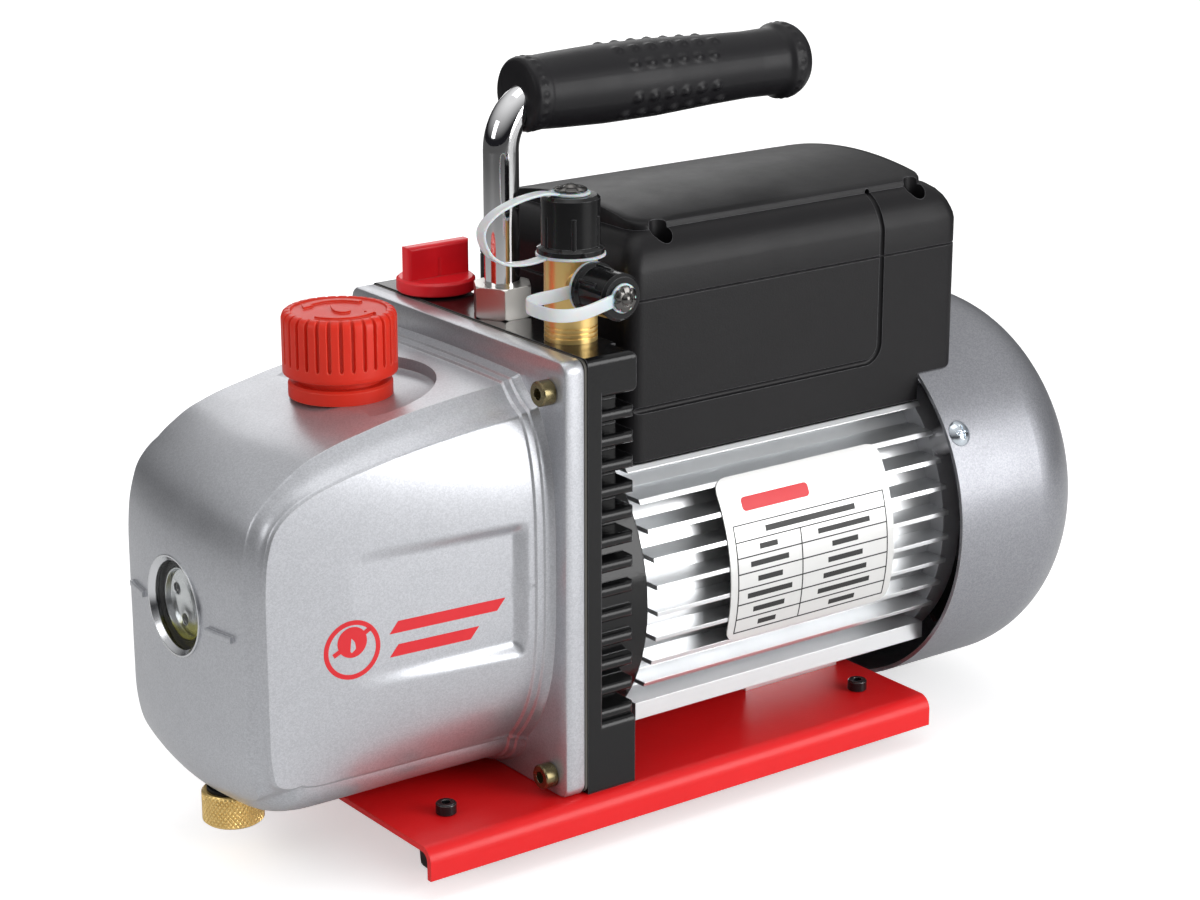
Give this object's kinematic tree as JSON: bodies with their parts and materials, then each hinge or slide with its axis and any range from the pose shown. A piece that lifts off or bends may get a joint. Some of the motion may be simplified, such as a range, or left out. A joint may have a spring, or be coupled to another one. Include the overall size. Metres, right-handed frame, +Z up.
{
  "type": "rotary vane vacuum pump",
  "caption": "Portable two-stage rotary vane vacuum pump: finned motor, oil case with sight glass, capped flare intake, ballast knob and carrying handle on a flat base.",
  "frame": {"origin": "on the floor under the middle of the pump's length and width", "axes": "+X along the shaft towards the fan cover, +Z up; the nameplate is on the -Y side"},
  "size_m": [0.3538, 0.144, 0.258],
  "materials": {
    "case_paint": "silver metallic paint, fine sparkle",
    "cover_paint": "darker grey metallic paint",
    "body_paint": "gloss black paint on a casting",
    "base_powder": "bright red powder coat",
    "aluminium_fins": "bright anodised extrusion",
    "aluminium_cast": "as cast",
    "box_plastic": "fine spark texture",
    "black_plastic": "smooth moulded",
    "socket_plastic": "smooth moulded",
    "rocker_plastic": "smooth moulded",
    "cap_red": "orange-red moulded",
    "knob_red": "deep red moulded",
    "fan_plastic": "moulded",
    "strap_plastic": "translucent milky",
    "brass": "turned, bright",
    "chrome": "polished plating",
    "nickel": "dull nickel plating",
    "zinc_screw": "blue zinc plating",
    "black_screw": "black oxide",
    "bronze_screw": "olive chromate",
    "steel": "ground",
    "lamination": "stacked sheet",
    "copper": "enamelled copper wire",
    "iron": "machined",
    "carbon": "carbon composite",
    "rubber_grip": "moulded grip",
    "rubber_foot": "moulded",
    "rubber_seal": "nitrile",
    "gasket": "compressed fibre",
    "glass": "clear lens",
    "mirror_ring": "turned ring",
    "foil": "printed foil",
    "capacitor_can": "moulded case"
  },
  "bodies": {
    "pump_base": {"base_plate": "base_powder", "rubber_feet": "rubber_foot", "foot_screws": "black_screw", "foot_nuts": "zinc_screw", "body_bolts": "black_screw", "pump_body": "body_paint", "case_gasket": "gasket", "oil_case": "case_paint", "case_screws": "bronze_screw", "sight_glass_lens": "glass", "sight_glass_ring": "mirror_ring", "sight_glass_seal": "rubber_seal", "filler_collar": "cap_red", "handle_tube": "chrome", "handle_nut": "nickel", "handle_grip": "rubber_grip", "intake_fitting": "brass", "intake_screen": "steel", "top_cap_tether": "strap_plastic", "side_cap_tether": "strap_plastic", "terminal_box": "box_plastic", "terminal_box_lid": "box_plastic", "lid_screws": "black_screw", "start_capacitor": "capacitor_can", "power_switch": "socket_plastic", "power_inlet": "socket_plastic", "motor_housing": "aluminium_fins", "stator_core": "lamination", "stator_windings": "copper", "shaft_bearings": "steel", "rear_end_shield": "aluminium_cast", "fan_cover": "cover_paint", "fan_cover_screws": "zinc_screw", "nameplate": "foil", "shaft_seal": "rubber_seal", "first_stage_cylinder": "iron", "second_stage_cylinder": "iron", "stage_plates": "iron"},
    "rotating_shaft": {"motor_shaft": "steel", "motor_rotor": "lamination", "cooling_fan": "fan_plastic", "shaft_coupling": "steel", "pump_rotor": "steel", "vane_springs": "steel"},
    "first_vane_near": {"first_stage_vane_near": "carbon"},
    "first_vane_far": {"first_stage_vane_far": "carbon"},
    "second_vane_near": {"second_stage_vane_near": "carbon"},
    "second_vane_far": {"second_stage_vane_far": "carbon"},
    "top_cap_seat": {"top_cap_rivet": "nickel"},
    "top_cap": {"top_port_cap": "black_plastic"},
    "side_cap_seat": {"side_cap_rivet": "nickel"},
    "side_cap": {"side_port_cap": "black_plastic"},
    "fill_cap_seat": {"filler_seal": "rubber_seal"},
    "fill_cap": {"oil_fill_cap": "cap_red"},
    "drain_seat": {"drain_seal": "rubber_seal"},
    "drain_screw": {"drain_plug": "brass"},
    "ballast_needle": {"ballast_stem": "brass"},
    "ballast_handwheel": {"ballast_knob": "knob_red"},
    "power_rocker": {"switch_rocker": "rocker_plastic"},
    "outlet_flap": {"discharge_valve": "steel"}
  },
  "joints": [
    {"name": "shaft_spin", "type": "hinge", "parent": "pump_base", "child": "rotating_shaft", "pos_m": [-0.0669, 0, 0.078], "axis": [1, 0, 0], "continuous": true},
    {"name": "first_vane_near_slide", "type": "slide", "parent": "rotating_shaft", "child": "first_vane_near", "axis": [0, -1, 0], "range_m": [0, 0.0038], "deforming": ["vane_springs"]},
    {"name": "first_vane_far_slide", "type": "slide", "parent": "rotating_shaft", "child": "first_vane_far", "axis": [0, 1, 0], "range_m": [0, 0.0038], "deforming": ["vane_springs"]},
    {"name": "second_vane_near_slide", "type": "slide", "parent": "rotating_shaft", "child": "second_vane_near", "axis": [0, -1, 0], "range_m": [0, 0.0038], "deforming": ["vane_springs"]},
    {"name": "second_vane_far_slide", "type": "slide", "parent": "rotating_shaft", "child": "second_vane_far", "axis": [0, 1, 0], "range_m": [0, 0.0038], "deforming": ["vane_springs"]},
    {"name": "top_cap_lift", "type": "slide", "parent": "pump_base", "child": "top_cap_seat", "axis": [0, 0, 1], "range_m": [0, 0.00988], "deforming": ["top_cap_tether"]},
    {"name": "top_cap_turn", "type": "hinge", "parent": "top_cap_seat", "child": "top_cap", "pos_m": [-0.0464, -0.0395, 0.208], "axis": [0, 0, 1], "range_deg": [0, 2520.5]},
    {"name": "side_cap_lift", "type": "slide", "parent": "pump_base", "child": "side_cap_seat", "axis": [0, -1, 0], "range_m": [0, 0.00762], "deforming": ["side_cap_tether"]},
    {"name": "side_cap_turn", "type": "hinge", "parent": "side_cap_seat", "child": "side_cap", "pos_m": [-0.0464, -0.058, 0.1895], "axis": [0, -1, 0], "range_deg": [0, 2160.5]},
    {"name": "fill_cap_lift", "type": "slide", "parent": "pump_base", "child": "fill_cap_seat", "axis": [0, 0, 1], "range_m": [0, 0.0135]},
    {"name": "fill_cap_turn", "type": "hinge", "parent": "fill_cap_seat", "child": "fill_cap", "pos_m": [-0.1114, 0, 0.168], "axis": [0, 0, 1], "range_deg": [0, 1620.5]},
    {"name": "drain_lift", "type": "slide", "parent": "pump_base", "child": "drain_seat", "axis": [0, 0, -1], "range_m": [0, 0.009]},
    {"name": "drain_turn", "type": "hinge", "parent": "drain_seat", "child": "drain_screw", "pos_m": [-0.1579, 0, 0.018], "axis": [0, 0, -1], "range_deg": [0, 2160.5]},
    {"name": "ballast_lift", "type": "slide", "parent": "pump_base", "child": "ballast_needle", "axis": [0, 0, 1], "range_m": [0, 0.00125]},
    {"name": "ballast_turn", "type": "hinge", "parent": "ballast_needle", "child": "ballast_handwheel", "pos_m": [-0.0464, 0.041, 0.173], "axis": [0, 0, 1], "range_deg": [0, 360.5]},
    {"name": "power_rocker_tilt", "type": "hinge", "parent": "pump_base", "child": "power_rocker", "pos_m": [0.1196, 0.02, 0.1655], "axis": [0, 0, 1], "range_deg": [-16, 0]},
    {"name": "outlet_flap_lift", "type": "slide", "parent": "pump_base", "child": "outlet_flap", "axis": [0, 0, 1], "range_m": [0, 0.001]}
  ],
  "couplings": [
    {"joint": "top_cap_turn", "follows": "top_cap_lift", "rad_per_m": 4453},
    {"joint": "side_cap_turn", "follows": "side_cap_lift", "rad_per_m": 4947.4},
    {"joint": "fill_cap_turn", "follows": "fill_cap_lift", "rad_per_m": 2094.4},
    {"joint": "drain_turn", "follows": "drain_lift", "rad_per_m": 4188.8},
    {"joint": "ballast_turn", "follows": "ballast_lift", "rad_per_m": 5026.5}
  ]
}
